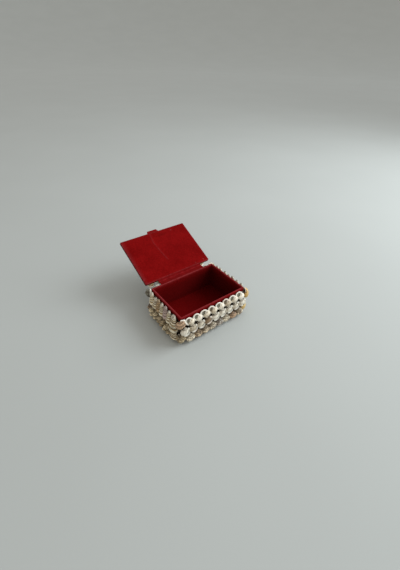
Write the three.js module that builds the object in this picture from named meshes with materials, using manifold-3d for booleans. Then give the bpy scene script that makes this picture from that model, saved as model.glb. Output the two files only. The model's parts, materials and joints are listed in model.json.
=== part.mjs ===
// A small souvenir box covered in sea shells. Its lid hangs on a strip of cloth and stands open, leaning back.
// Millimetres, +Z up. The origin is the centre of the underside, and +Y points to the hinge.
import * as THREE from "three";
import { mergeVertices } from "three/addons/utils/BufferGeometryUtils.js";
import Module from "manifold-3d";

const wasm = await Module();
wasm.setup();

// Box
const RIM_WIDTH = 110; // outside of the felt rim, left to right
const RIM_DEPTH = 74.5; // outside of the felt rim, front to back
const BOX_HEIGHT = 44; // underside to the top of the felt rim
const WALL = 1.5; // card of the walls
const FLOOR = 2; // card of the floor
const CORNER_RADIUS = 3; // outside corners of the rim
const COLLAR = 6; // how far the felt turns down outside
const FELT = 0.6;
const CLEARANCE = 0.3; // between pieces that touch, the width of a glue line

// Lid
const LID_WIDTH = 113.2;
const LID_DEPTH = 80.5;
const LID_BOARD = 2; // card of the lid
const LID_CORNER_RADIUS = 2.5;
const LID_OVERHANG_BACK = 2.75; // past the rim at the hinge, when closed
const LID_LIFT = 0.5; // of the closed lid above the rim

// Hinge
const HINGE_WIDTH = 76;
const HINGE_CLOTH = 0.5;
const HINGE_BEHIND = 6.8; // the fold line, behind the rim
const HINGE_BELOW = 0.2; // the fold line, below the top of the rim
const LID_OPEN = 156; // degrees from closed to the stop

// Pull tab, a ribbon folded into a loop
const RIBBON = 0.5;
const TAB_WIDTH = 18; // where it leaves the lid
const TAB_END_WIDTH = 13;
const TAB_REACH = 5; // past the lid's front edge
const TAB_LOOP = 2.2; // thickness of the loop
const TAB_TAIL = 12; // length held between the felt and the card

// Shells on the walls
const SHELL_PROUD = 9; // how far the shells stand out from the rim's outside
const SHELL_TOUCH = 0.7; // how much wider than its place each shell is, so that neighbours touch
const UNDERSIDE_GAP = 0.6; // from the table to the lowest shells
const RIM_REVEAL = 0.4; // from the top of the rim down to the highest shells
const HINGE_REVEAL = 1.5; // the same at the back, where the hinge cloth passes over them
const WHELK_WIDTH = 12.4; // on the front and back walls
const CERITH_WIDTH = 8.8; // on the side walls
const CERITH_LENGTH = 24;
const BOTTOM_ROW = 13; // height of the bottom row
const UPPER_LAP = 8; // how far the points of the top and middle rows reach between each other
const LOWER_LAP = 2; // the same for the middle and bottom rows
const CORNER_SHARE = 4.8; // length at each end of a wall that is left to the corner shell
const CORNER_SHELL = 11; // width of a corner shell
const CORNER_SHELL_HEIGHT = 14;
const END_SHELL_WIDTH = 12.5; // the two large shells at the front end of the left wall
const END_SHELL_SPLIT = 16; // height at which they meet
const SHELL_GAP = 0.5; // between shells that are not glued to each other

// Shells on the lid
const LID_SHELL_WIDTH = 15;
const LID_SHELL_LENGTH = 14; // of the outer ring
const LID_INNER_LENGTH = 12.4; // of the inner ring
const LID_SHELL_DEPTH = 9.5;
const LID_CENTRE_DEPTH = 13; // height of the large shell in the middle
const LID_SHELL_INSET = 3.5; // from the lid's front and side edges
const LID_SHELL_OVERHANG = 3.2; // past the hinge edge, where they meet the back wall's shells when open

const material = (color, roughness) => new THREE.MeshStandardMaterial({ color, roughness, metalness: 0 });
const card = material(0x4a3a30, 0.95);
const felt = material(0x780f12, 0.95);
const cloth = material(0x8c2326, 0.9);
const creamShell = material(0xe6e2d2, 0.5);
const brownShell = material(0xa98a68, 0.55);
const greyShell = material(0xc9c5b2, 0.55);
const yellowShell = material(0xd9c48d, 0.35);

// Solids are joined and cut as closed surfaces whose shared corners are merged.
function solidOf(geometry) {
  const bare = geometry.clone();
  bare.deleteAttribute("normal");
  bare.deleteAttribute("uv");
  const merged = mergeVertices(bare, 1e-4);
  return new wasm.Manifold(
    new wasm.Mesh({
      numProp: 3,
      vertProperties: merged.attributes.position.array,
      triVerts: new Uint32Array(merged.index.array),
    }),
  );
}

function geometryOf(solid) {
  const { vertProperties, triVerts } = solid.getMesh();
  const geometry = new THREE.BufferGeometry();
  geometry.setAttribute("position", new THREE.BufferAttribute(new Float32Array(vertProperties), 3));
  geometry.setIndex(new THREE.BufferAttribute(new Uint32Array(triVerts), 1));
  geometry.computeVertexNormals();
  return geometry;
}

const cut = (whole, ...tools) =>
  geometryOf(tools.reduce((left, tool) => left.subtract(solidOf(tool)), solidOf(whole)));
const join = (first, ...others) =>
  geometryOf(others.reduce((sum, other) => sum.add(solidOf(other)), solidOf(first)));

// Traces a rectangle with round corners, centred on the origin.
function roundedOutline(path, width, depth, radius) {
  const x = width / 2 - radius;
  const y = depth / 2 - radius;
  const quarter = Math.PI / 2;
  path.moveTo(x, -y - radius);
  path.absarc(x, -y, radius, -quarter, 0);
  path.absarc(x, y, radius, 0, quarter);
  path.absarc(-x, y, radius, quarter, 2 * quarter);
  path.absarc(-x, -y, radius, 2 * quarter, 3 * quarter);
  path.closePath();
  return path;
}

// An upright slab with round corners from one height to another, with an optional hole of the same kind.
function slab(width, depth, radius, low, high, hole) {
  const outline = roundedOutline(new THREE.Shape(), width, depth, radius);
  if (hole) outline.holes.push(roundedOutline(new THREE.Path(), hole.width, hole.depth, hole.radius));
  const settings = { depth: high - low, bevelEnabled: false, curveSegments: 2 };
  return new THREE.ExtrudeGeometry(outline, settings).translate(0, 0, low);
}

// A plain block given by its two opposite corners.
function block([x0, y0, z0], [x1, y1, z1]) {
  const centre = [(x0 + x1) / 2, (y0 + y1) / 2, (z0 + z1) / 2];
  return new THREE.BoxGeometry(x1 - x0, y1 - y0, z1 - z0).translate(...centre);
}

function mesh(name, geometry, look) {
  const made = new THREE.Mesh(geometry, look);
  made.name = name;
  return made;
}

// A small even variation between -1 and 1, different for each shell and each seed.
const vary = (index, seed) => Math.sin(2.4 * index + 1.7 * seed + 0.6);

// Each profile runs from a shell's lower end to the tip of its spire.
// It holds pairs of height and radius, as shares of the shell's length and half its width.
const PROFILES = {
  whelk: [
    [0, 0],
    [0.13, 0.55],
    [0.36, 1],
    [0.58, 0.74],
    [0.66, 0.5],
    [1, 0],
  ],
  cerith: [
    [0, 0],
    [0.1, 0.74],
    [0.32, 1],
    [0.46, 0.74],
    [0.62, 0.74],
    [1, 0],
  ],
  cone: [
    [0, 0],
    [0.16, 0.66],
    [0.38, 1],
    [0.64, 0.56],
    [1, 0],
  ],
  turban: [
    [0, 0],
    [0.2, 0.74],
    [0.5, 1],
    [0.8, 0.74],
    [1, 0],
  ],
};

// One shell standing on its lower end: X across, Y along it to the spire, Z outwards from the wall at 0.
// Its section has six sides with flat flanks, a back that lies close to the wall, and a mouth that
// dents the front of the body whorl. In front the whorls slope, as a wound shell's do.
function shell({ kind, width, length, depth, turn = 1 }) {
  const profile = PROFILES[kind].map(([height, radius]) => new THREE.Vector2(radius, height));
  const geometry = new THREE.LatheGeometry(profile, 6);
  const flank = Math.cos(Math.PI / 6);
  const back = 0.38 * depth;
  const mouth = kind === "turban" ? 0.94 : 0.8;
  const places = geometry.attributes.position;
  for (let i = 0; i < places.count; i++) {
    const [x, y, z] = [places.getX(i), places.getY(i), places.getZ(i)];
    const inMouth = z > 0.4 && Math.abs(x) < 0.1 && y > 0.1 && y < 0.5;
    const front = (depth - back) * (inMouth ? mouth : 1);
    const slope = z > 0 ? 0.06 * length * turn * x * Math.sin(Math.PI * y) : 0;
    places.setXYZ(i, (x / flank) * (width / 2), y * length + slope, back + z * (z > 0 ? front : back));
  }
  return geometry;
}

// A row of touching shells along X, centred, standing between two heights.
// Each shell is a little shorter or deeper than its neighbour.
function shellRow({ count, pitch, low, high, depth, kind, spireDown = false, seed = 1 }) {
  const shells = [];
  for (let i = 0; i < count; i++) {
    const made = shell({
      kind,
      width: pitch + SHELL_TOUCH,
      length: (high - low) * (0.96 + 0.04 * vary(i, seed)),
      depth: depth * (0.97 + 0.03 * vary(i, seed + 5)),
      turn: spireDown ? -1 : 1,
    });
    if (spireDown) made.rotateZ(Math.PI);
    shells.push(made.translate((i - (count - 1) / 2) * pitch, spireDown ? high : low, 0));
  }
  return join(...shells);
}

// Box: the card walls stand inside the felt, which is turned over them.
const cardInset = FELT + CLEARANCE;
const wallInset = cardInset + WALL;
const tubInset = wallInset + CLEARANCE;
const cavityInset = tubInset + FELT;
const rimInset = (inset) => [RIM_WIDTH - 2 * inset, RIM_DEPTH - 2 * inset, Math.max(0.3, CORNER_RADIUS - inset)];
const rimHole = (inset) => {
  const [width, depth, radius] = rimInset(inset);
  return { width, depth, radius };
};
const cardTop = BOX_HEIGHT - cardInset;
const tubFloor = FLOOR + CLEARANCE;

function makeCarcass() {
  const outside = slab(...rimInset(cardInset), 0, cardTop);
  const inside = slab(...rimInset(wallInset), FLOOR, cardTop + 1);
  return cut(outside, inside);
}

function makeLining() {
  const collar = slab(...rimInset(0), BOX_HEIGHT - COLLAR, BOX_HEIGHT);
  const tub = slab(...rimInset(tubInset), tubFloor, BOX_HEIGHT);
  const wallSlot = slab(...rimInset(FELT), tubFloor - 1, BOX_HEIGHT - FELT, rimHole(tubInset));
  const cavity = slab(...rimInset(cavityInset), tubFloor + FELT, BOX_HEIGHT + 1);
  return cut(join(collar, tub), wallSlot, cavity);
}

// Extrudes an outline drawn in Y and Z across the box, centred on X = 0.
function across(shape, width) {
  const settings = { depth: width, bevelEnabled: false, curveSegments: 4 };
  return new THREE.ExtrudeGeometry(shape, settings)
    .rotateX(Math.PI / 2)
    .rotateZ(Math.PI / 2)
    .translate(-width / 2, 0, 0);
}

// A strip of cloth bent once at a right angle, from the end of one leg to the end of the other.
function bentCloth([y0, z0], [y1, z1], [y2, z2]) {
  const t = HINGE_CLOTH;
  const side = Math.sign(y2 - y1);
  const rise = Math.sign(z1 - z0);
  const corners = [
    [y0, z0],
    [y1, z1],
    [y2, z2],
    [y2, z2 - rise * t],
    [y1 + side * t, z1 - rise * t],
    [y0 + side * t, z0],
  ];
  return across(new THREE.Shape(corners.map(([y, z]) => new THREE.Vector2(y, z))), HINGE_WIDTH);
}

// The fold of the hinge, from which the lid's own places are counted.
const foldY = RIM_DEPTH / 2 + HINGE_BEHIND;
const foldZ = BOX_HEIGHT - HINGE_BELOW;
const foldGap = CLEARANCE / 2;

// Lid, measured from the fold while it is closed: its felt faces down.
const lidBack = LID_OVERHANG_BACK - HINGE_BEHIND;
const lidFront = lidBack - LID_DEPTH;
const lidMiddle = (lidBack + lidFront) / 2;
const lidFelt = HINGE_BELOW + LID_LIFT;
const boardLow = lidFelt + FELT + CLEARANCE;
const boardHigh = boardLow + LID_BOARD;

// The cloth runs down the back of the collar, and out to the fold just below the rim.
function makeBoxCloth() {
  const back = RIM_DEPTH / 2 + CLEARANCE;
  const top = foldZ - foldGap;
  return bentCloth([back, BOX_HEIGHT - COLLAR], [back, top], [foldY - foldGap, top]);
}

// On the lid it runs from the fold to the hinge edge, and up that edge to the card's outer face.
function makeLidCloth() {
  const leg = lidBack + CLEARANCE;
  return bentCloth([leg, boardHigh], [leg, foldGap], [-foldGap, foldGap]);
}

const tabLow = boardLow;
const tabHigh = tabLow + 2 * RIBBON;
const tabSlot = () =>
  block(
    [-TAB_WIDTH / 2 - CLEARANCE, lidFront - 1, tabLow - CLEARANCE],
    [TAB_WIDTH / 2 + CLEARANCE, lidFront + TAB_TAIL + CLEARANCE, tabHigh + CLEARANCE],
  );

function makeLidBoard() {
  const inset = FELT + CLEARANCE;
  const size = [LID_WIDTH - 2 * inset, LID_DEPTH - 2 * inset, LID_CORNER_RADIUS - inset];
  return cut(slab(...size, boardLow, boardHigh).translate(0, lidMiddle, 0), tabSlot());
}

function makeLidLining() {
  const outside = slab(LID_WIDTH, LID_DEPTH, LID_CORNER_RADIUS, lidFelt, boardHigh);
  const size = [LID_WIDTH - 2 * FELT, LID_DEPTH - 2 * FELT, LID_CORNER_RADIUS - FELT];
  const pocket = slab(...size, lidFelt + FELT, boardHigh + 1);
  return cut(outside.translate(0, lidMiddle, 0), pocket.translate(0, lidMiddle, 0), tabSlot());
}

// The ribbon's two ends lie flat on each other under the felt, and part into a loop past the edge.
function makeTab() {
  const half = TAB_LOOP / 2;
  const outline = new THREE.Shape();
  outline.moveTo(-TAB_TAIL, -RIBBON);
  outline.lineTo(CLEARANCE, -RIBBON);
  outline.bezierCurveTo(TAB_REACH / 2, -1.3 * half, TAB_REACH, -half, TAB_REACH, 0);
  outline.bezierCurveTo(TAB_REACH, half, TAB_REACH / 2, 1.3 * half, CLEARANCE, RIBBON);
  outline.lineTo(-TAB_TAIL, RIBBON);
  outline.closePath();
  const inner = half - RIBBON;
  const opening = new THREE.Path();
  opening.moveTo(2 * RIBBON, 0);
  opening.bezierCurveTo(TAB_REACH / 2, 1.3 * inner, TAB_REACH - RIBBON, inner, TAB_REACH - RIBBON, 0);
  opening.bezierCurveTo(TAB_REACH - RIBBON, -inner, TAB_REACH / 2, -1.3 * inner, 2 * RIBBON, 0);
  outline.holes.push(opening);
  const loop = across(outline, TAB_WIDTH).rotateZ(Math.PI);
  const plan = new THREE.Shape();
  plan.moveTo(-TAB_WIDTH / 2, TAB_TAIL + 1);
  plan.lineTo(-TAB_WIDTH / 2, 0);
  plan.lineTo(-TAB_END_WIDTH / 2, -TAB_REACH - 1);
  plan.lineTo(TAB_END_WIDTH / 2, -TAB_REACH - 1);
  plan.lineTo(TAB_WIDTH / 2, 0);
  plan.lineTo(TAB_WIDTH / 2, TAB_TAIL + 1);
  const taper = new THREE.ExtrudeGeometry(plan, { depth: 2 * TAB_LOOP, bevelEnabled: false });
  const tapered = solidOf(loop).intersect(solidOf(taper.translate(0, 0, -TAB_LOOP)));
  return geometryOf(tapered).translate(0, lidFront, (tabLow + tabHigh) / 2);
}

// The three rows of shells on a wall. At the front and back the top row's spires point down, between
// those of the middle row. On the sides tall spires stand up to the rim, over two rows of small shells.
const shellsTop = BOX_HEIGHT - RIM_REVEAL;
const backTop = BOX_HEIGHT - HINGE_REVEAL;
const upperRow = (backTop - UNDERSIDE_GAP - BOTTOM_ROW + UPPER_LAP + LOWER_LAP) / 2;
const bottomHigh = UNDERSIDE_GAP + BOTTOM_ROW;
const middleLow = bottomHigh - LOWER_LAP;
const WHELK_LEVELS = {
  top: { low: backTop - upperRow, high: backTop, spireDown: true },
  middle: { low: middleLow, high: middleLow + upperRow },
  bottom: { low: UNDERSIDE_GAP, high: bottomHigh },
};
const tallLow = shellsTop - CERITH_LENGTH;
const smallRow = (tallLow - UNDERSIDE_GAP) / 2 - CLEARANCE;
const CERITH_LEVELS = {
  top: { low: tallLow, high: shellsTop },
  middle: { low: tallLow - CLEARANCE - smallRow, high: tallLow - CLEARANCE },
  bottom: { low: UNDERSIDE_GAP, high: UNDERSIDE_GAP + smallRow },
};
const BACKING = { top: CLEARANCE, middle: CLEARANCE - cardInset, bottom: CLEARANCE - cardInset };
const WHELK_KINDS = { top: "whelk", middle: "whelk", bottom: "turban" };
const CERITH_KINDS = { top: "cerith", middle: "turban", bottom: "turban" };
const clothBacking = HINGE_CLOTH + 2 * CLEARANCE;

const WALLS = {
  front: { angle: 0, length: RIM_WIDTH, out: RIM_DEPTH / 2, width: WHELK_WIDTH },
  right: { angle: Math.PI / 2, length: RIM_DEPTH, out: RIM_WIDTH / 2, width: CERITH_WIDTH },
  back: { angle: Math.PI, length: RIM_WIDTH, out: RIM_DEPTH / 2, width: WHELK_WIDTH },
  left: { angle: -Math.PI / 2, length: RIM_DEPTH, out: RIM_WIDTH / 2, width: CERITH_WIDTH },
};
const ROW_LOOKS = {
  front: { top: creamShell, middle: creamShell, bottom: brownShell },
  right: { top: creamShell, middle: greyShell, bottom: brownShell },
  back: { top: creamShell, middle: greyShell, bottom: brownShell },
  left: { top: creamShell, middle: greyShell, bottom: greyShell },
};

// A frame on a wall: X runs along it, Y up and Z straight out, from the box's axis at the table.
function wallFrame(angle) {
  const frame = new THREE.Group();
  frame.rotation.set(Math.PI / 2, 0, angle, "ZXY");
  return frame;
}

function wallShells(wall, seed) {
  const { angle, length, out, width } = WALLS[wall];
  const frame = wallFrame(angle);
  const endColumn = wall === "left" ? END_SHELL_WIDTH + SHELL_GAP : 0;
  const span = length - 2 * CORNER_SHARE - endColumn;
  const count = Math.max(2, Math.round(span / width));
  const pitch = span / count;
  const levels = width === WHELK_WIDTH ? WHELK_LEVELS : CERITH_LEVELS;
  for (const [level, { low, high: full, spireDown }] of Object.entries(levels)) {
    const high = wall === "front" && level === "top" ? shellsTop : full;
    const extra = level !== "middle" ? 0 : width === WHELK_WIDTH ? 1 : -1;
    const raised = wall === "back" && level === "top" ? clothBacking : BACKING[level];
    const kinds = width === WHELK_WIDTH ? WHELK_KINDS : CERITH_KINDS;
    const kind = kinds[level];
    const depth = SHELL_PROUD - raised;
    const row = shellRow({ count: count + extra, pitch, low, high, depth, kind, spireDown, seed: seed++ });
    row.translate(-endColumn / 2, 0, out + raised);
    frame.add(mesh(`${wall}_shells_${level}`, row, ROW_LOOKS[wall][level]));
  }
  if (endColumn) frame.add(...endShells(span / 2 + SHELL_GAP / 2, out));
  return frame;
}

// The two large ribbed shells at the front end of the left wall, one above the other.
function endShells(middle, out) {
  const heights = {
    top: [END_SHELL_SPLIT + SHELL_GAP, shellsTop],
    bottom: [UNDERSIDE_GAP, END_SHELL_SPLIT],
  };
  return Object.entries(heights).map(([level, [low, high]]) => {
    const backing = BACKING.top;
    const size = { kind: "cerith", width: END_SHELL_WIDTH, length: high - low, depth: SHELL_PROUD - backing };
    const made = shell(size).translate(middle, low, out + backing);
    return mesh(`left_end_shell_${level}`, made, creamShell);
  });
}

// A shell on each corner at the top and at the bottom, facing out along the diagonal.
const CORNERS = {
  front_right: { angle: Math.PI / 4, x: 1, y: -1, looks: [yellowShell, yellowShell] },
  back_right: { angle: (3 * Math.PI) / 4, x: 1, y: 1, looks: [creamShell, brownShell] },
  back_left: { angle: (-3 * Math.PI) / 4, x: -1, y: 1, looks: [greyShell, brownShell] },
  front_left: { angle: -Math.PI / 4, x: -1, y: -1, looks: [brownShell, greyShell] },
};

function cornerShells(corner) {
  const { angle, x, y, looks } = CORNERS[corner];
  const frame = wallFrame(angle);
  frame.position.set(x * (RIM_WIDTH / 2 - CORNER_RADIUS), y * (RIM_DEPTH / 2 - CORNER_RADIUS), 0);
  const lows = { top: shellsTop - CORNER_SHELL_HEIGHT, bottom: UNDERSIDE_GAP };
  Object.entries(lows).forEach(([level, low], index) => {
    const out = CORNER_RADIUS + BACKING[level];
    const size = { kind: "turban", width: CORNER_SHELL, length: CORNER_SHELL_HEIGHT, depth: SHELL_PROUD };
    frame.add(mesh(`corner_${corner}_${level}`, shell(size).translate(0, low, out), looks[index]));
  });
  return frame;
}

// A ring of shells round a field on the lid, their spires towards its middle.
function shellRing(field, prefix, length, kind, seed) {
  const turns = { front: 0, right: 90, back: 180, left: 270 };
  return Object.entries(turns).map(([side, turn], index) => {
    const lengthwise = index % 2 === 0;
    const half = (lengthwise ? field.depth : field.width) / 2;
    const span = lengthwise ? field.width : field.depth - 2 * (length + SHELL_GAP);
    const count = Math.max(1, Math.round(span / LID_SHELL_WIDTH));
    const row = shellRow({
      count,
      pitch: (span - SHELL_TOUCH) / count,
      low: -half,
      high: length - half,
      depth: LID_SHELL_DEPTH,
      kind,
      seed: seed + index,
    });
    return mesh(`${prefix}_${side}`, row.rotateZ(THREE.MathUtils.degToRad(turn)), index ? greyShell : creamShell);
  });
}

function lidShells() {
  const frame = new THREE.Group();
  frame.position.set(0, lidMiddle + (LID_SHELL_INSET + LID_SHELL_OVERHANG) / 2, boardHigh + CLEARANCE);
  const field = {
    width: LID_WIDTH - 2 * LID_SHELL_INSET,
    depth: LID_DEPTH - LID_SHELL_INSET + LID_SHELL_OVERHANG,
  };
  const shrink = ({ width, depth }, by) => ({ width: width - 2 * by, depth: depth - 2 * by });
  const inner = shrink(field, LID_SHELL_LENGTH + SHELL_GAP);
  const middle = shrink(inner, LID_INNER_LENGTH + SHELL_GAP);
  frame.add(...shellRing(field, "lid_shells_outer", LID_SHELL_LENGTH, "cone", 11));
  frame.add(...shellRing(inner, "lid_shells_inner", LID_INNER_LENGTH, "turban", 15));
  const centre = shell({ kind: "turban", width: middle.depth, length: middle.width, depth: LID_CENTRE_DEPTH });
  frame.add(mesh("lid_centre_shell", centre.translate(0, -middle.width / 2, 0).rotateZ(Math.PI / 2), brownShell));
  return frame;
}

const box = new THREE.Group();
box.add(mesh("box_carcass", makeCarcass(), card));
box.add(mesh("box_lining", makeLining(), felt));
box.add(mesh("hinge_cloth_box", makeBoxCloth(), cloth));
Object.keys(WALLS).forEach((wall, index) => box.add(wallShells(wall, 3 * index)));
Object.keys(CORNERS).forEach((corner) => box.add(cornerShells(corner)));

const lid = new THREE.Group();
lid.position.set(0, foldY, foldZ);
lid.rotation.x = -THREE.MathUtils.degToRad(LID_OPEN);
lid.add(mesh("lid_board", makeLidBoard(), card));
lid.add(mesh("lid_lining", makeLidLining(), felt));
lid.add(mesh("hinge_cloth_lid", makeLidCloth(), cloth));
lid.add(mesh("pull_tab", makeTab(), cloth));
lid.add(lidShells());

const shellBox = new THREE.Group();
shellBox.add(box, lid);
export default shellBox;
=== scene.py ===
# %% [markdown]
# # A shell box, dressed round its working parts
# The box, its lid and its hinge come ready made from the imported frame. This script only gives them
# their looks: wound sea shells, red felt, a ribbon and a strip of hinge cloth, all built with bmesh.

# %% Load the frame
import json
import math
import random

import bmesh
import bpy
from mathutils import Matrix, Vector, noise
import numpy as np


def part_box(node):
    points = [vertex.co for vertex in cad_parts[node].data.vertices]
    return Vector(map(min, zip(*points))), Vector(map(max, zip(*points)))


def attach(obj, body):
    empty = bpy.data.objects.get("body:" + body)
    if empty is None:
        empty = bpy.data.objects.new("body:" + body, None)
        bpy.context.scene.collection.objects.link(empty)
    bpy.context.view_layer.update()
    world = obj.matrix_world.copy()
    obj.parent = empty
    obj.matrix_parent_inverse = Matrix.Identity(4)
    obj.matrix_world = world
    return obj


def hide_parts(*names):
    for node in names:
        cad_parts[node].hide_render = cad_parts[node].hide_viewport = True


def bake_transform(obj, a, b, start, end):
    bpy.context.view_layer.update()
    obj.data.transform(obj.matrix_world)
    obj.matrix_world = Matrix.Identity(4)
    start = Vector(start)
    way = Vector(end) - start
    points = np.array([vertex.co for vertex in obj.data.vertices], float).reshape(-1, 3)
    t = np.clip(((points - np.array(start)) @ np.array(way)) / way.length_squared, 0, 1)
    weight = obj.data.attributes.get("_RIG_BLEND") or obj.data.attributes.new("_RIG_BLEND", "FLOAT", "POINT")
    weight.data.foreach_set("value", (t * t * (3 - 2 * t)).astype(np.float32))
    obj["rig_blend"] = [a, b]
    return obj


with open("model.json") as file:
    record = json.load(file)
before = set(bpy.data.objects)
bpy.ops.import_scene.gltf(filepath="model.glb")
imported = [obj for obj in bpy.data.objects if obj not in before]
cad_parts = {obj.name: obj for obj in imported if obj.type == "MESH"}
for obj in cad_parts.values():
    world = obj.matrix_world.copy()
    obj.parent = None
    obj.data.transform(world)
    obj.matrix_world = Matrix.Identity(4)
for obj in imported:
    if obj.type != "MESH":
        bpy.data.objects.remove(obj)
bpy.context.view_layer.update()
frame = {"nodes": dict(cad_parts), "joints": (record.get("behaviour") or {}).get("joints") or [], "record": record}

MM = 0.001
FULL_TURN = 2 * math.pi
joint = frame["joints"][0]
fold = Vector(joint["pos_m"])
lid_turn = math.radians(joint["range_deg"][1])
print("nodes:", len(frame["nodes"]), "fold line at", [round(v, 4) for v in fold])

# %% [markdown]
# ## The camera
# The photograph was taken with a wide phone lens from the front left, held a little askew. Its place was
# worked out from the corners of the rim and the lid, so the camera is set once, here, by a position and
# the three directions of its body. The lens follows from the picture's long side of 570 pixels.

# %% Camera
SENSOR = 36
LONG_SIDE = 570
FOCAL_PIXELS = 300.6
CAMERA_PLACE = Vector((-0.2027, -0.2617, 0.3153))

camera_data = bpy.data.cameras.new("camera")
camera_data.sensor_width = SENSOR
camera_data.lens = FOCAL_PIXELS * SENSOR / LONG_SIDE
camera = bpy.data.objects.new("camera", camera_data)
bpy.context.scene.collection.objects.link(camera)
right = Vector((0.7977, -0.6025, 0.0252)).normalized()
back = Vector((-0.4825, -0.6126, 0.6260)).normalized()
up = back.cross(right).normalized()
turned = Matrix((right, up, back)).transposed().to_4x4()
camera.matrix_world = Matrix.Translation(CAMERA_PLACE) @ turned
bpy.context.scene.camera = camera
print("lens", round(camera_data.lens, 2), "mm")

# %% [markdown]
# ## Shader maths in plain Python
# Wiring Math nodes by hand hides what a material does. A small class wraps a socket and overloads the
# operators, so that `1 - mask` adds its own Math node and reads like the sum that it is.


# %% The socket wrapper
class Value:
    """A socket that gives a value, inside one node tree."""

    def __init__(self, tree, socket):
        self.tree = tree
        self.socket = socket

    def maths(self, operation, first, second=None):
        node = self.tree.nodes.new("ShaderNodeMath")
        node.operation = operation
        for slot, item in enumerate([first, second]):
            if isinstance(item, Value):
                self.tree.links.new(item.socket, node.inputs[slot])
            elif item is not None:
                node.inputs[slot].default_value = item
        return Value(self.tree, node.outputs[0])

    def __add__(self, other):
        return self.maths("ADD", self, other)

    def __sub__(self, other):
        return self.maths("SUBTRACT", self, other)

    def __rsub__(self, other):
        return self.maths("SUBTRACT", other, self)

    def __mul__(self, other):
        return self.maths("MULTIPLY", self, other)

    __radd__ = __add__
    __rmul__ = __mul__

    def sine(self):
        return self.maths("SINE", self)

    def cosine(self):
        return self.maths("COSINE", self)


print("sockets can be added, subtracted and multiplied")

# %% [markdown]
# ## One way to add any other node
# Every node that isn't plain maths is made by one method. It takes the node's settings first, because
# they can change its sockets, and then the values or links of its sockets.


# %% Adding nodes
class Nodes:
    """Adds nodes to one node tree."""

    def __init__(self, tree):
        self.tree = tree

    def node(self, kind, settings, inputs, output):
        made = self.tree.nodes.new(kind)
        for name, value in settings.items():
            setattr(made, name, value)
        for name, value in inputs.items():
            if isinstance(value, Value):
                self.tree.links.new(value.socket, made.inputs[name])
            else:
                made.inputs[name].default_value = value
        return Value(self.tree, made.outputs[output])

    def mix(self, factor, first, second):
        """Mixes two colours. The Mix node's colour sockets are its seventh and eighth."""
        shades = {}
        for slot, item in ((6, first), (7, second)):
            shades[slot] = item if isinstance(item, Value) else (*item, 1)
        return self.node("ShaderNodeMix", {"data_type": "RGBA"}, {0: factor, **shades}, 2)


print("any node can be added by its type, settings and inputs")

# %% [markdown]
# ## A finish
# A finish is a material with one Principled shader. The felt, the cloths, the card, the shells and the
# floor are all built from the same few nodes: noise, painted values, smooth steps and a bump. So each of
# these gets a short method, and the finishes below read like recipes.


# %% The finish maker
class Finish(Nodes):
    """A material with one Principled shader, filled in step by step."""

    def __init__(self, name, **constants):
        self.material = bpy.data.materials.new(name)
        self.material.use_nodes = True
        super().__init__(self.material.node_tree)
        self.shader = self.tree.nodes["Principled BSDF"]
        for socket, value in constants.items():
            self.shader.inputs[socket.replace("_", " ")].default_value = value
        self.place = self.node("ShaderNodeTexCoord", {}, {}, "Object")

    def noise(self, scale, detail=3.0, rough=0.55, place=None):
        inputs = {"Vector": place or self.place, "Scale": scale, "Detail": detail, "Roughness": rough}
        return self.node("ShaderNodeTexNoise", {}, inputs, "Fac")

    def painted(self, name):
        return self.node("ShaderNodeAttribute", {"attribute_name": name}, {}, "Fac")

    def step(self, value, low, high):
        """Rises smoothly from 0 to 1 while the value goes from low to high."""
        settings = {"interpolation_type": "SMOOTHSTEP"}
        return self.node("ShaderNodeMapRange", settings, {0: value, 1: low, 2: high}, 0)

    def vector(self, x, y, z):
        return self.node("ShaderNodeCombineXYZ", {}, {0: x, 1: y, 2: z}, 0)

    def feed(self, socket, value):
        self.tree.links.new(value.socket, self.shader.inputs[socket])

    def bump(self, height, distance, strength=1.0):
        inputs = {"Height": height, "Distance": distance, "Strength": strength}
        self.feed("Normal", self.node("ShaderNodeBump", {}, inputs, "Normal"))


print("a finish can be given noise, painted values, steps, colours and a bump")

# %% [markdown]
# ## Felt
# The lining is wool felt, dyed a deep red. Close up it is a mat of short fibres, so its surface scatters
# light softly and shows fine mottling. Rubbed places, such as the rim and the lid's edges, are paler and
# pinker, with a painted highlight there too, and the inside of the box gets painted shade. Each piece
# carries painted values for this: one for wear and highlight, `shaded` for the shade, and on the lid
# `lint` for stray pale fluff.

# %% Felt
FELT_DEEP = (0.138, 0.0012, 0.0014)
FELT_BRIGHT = (0.212, 0.0032, 0.0036)
FELT_WEAR_AND_HIGHLIGHT = (0.25, 0.05, 0.056)
FELT_SHADED = (0.072, 0.0008, 0.0008)
FLUFF = (0.62, 0.42, 0.38)


def make_felt():
    finish = Finish("felt", Roughness=0.95, Sheen_Weight=0.04, Specular_IOR_Level=0.03)
    finish.shader.inputs["Sheen Tint"].default_value = (1.0, 0.22, 0.22, 1)
    patches = finish.noise(45, 2)
    clumps = finish.noise(420, 4, 0.65)
    matted = finish.noise(900, 2, 0.6)
    fibres = finish.noise(2600, 3, 0.7)
    shade = finish.step(patches * 0.3 + clumps * 0.4 + matted * 0.4, 0.42, 0.68)
    colour = finish.mix(shade, FELT_DEEP, FELT_BRIGHT)
    # Wear makes the felt paler and pinker, and on the rim and the lid's edges it also paints the highlight of
    # light grazing the felt.
    wear_and_highlight = finish.painted("wear_and_highlight") * finish.step(clumps * 0.6 + fibres * 0.5, 0.25, 0.75)
    colour = finish.mix(wear_and_highlight, colour, FELT_WEAR_AND_HIGHLIGHT)
    # Painted shade darkens the felt deep in the box, more towards its right, and on the lid's folded edges.
    colour = finish.mix(finish.painted("shaded"), colour, FELT_SHADED)
    lint = finish.step(finish.painted("lint") + (fibres - 0.5) * 0.5, 0.45, 0.8)
    finish.feed("Base Color", finish.mix(lint, colour, FLUFF))
    finish.bump(clumps * 0.55 + fibres * 0.45, 0.35 * MM, 0.7)
    return finish.material


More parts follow.
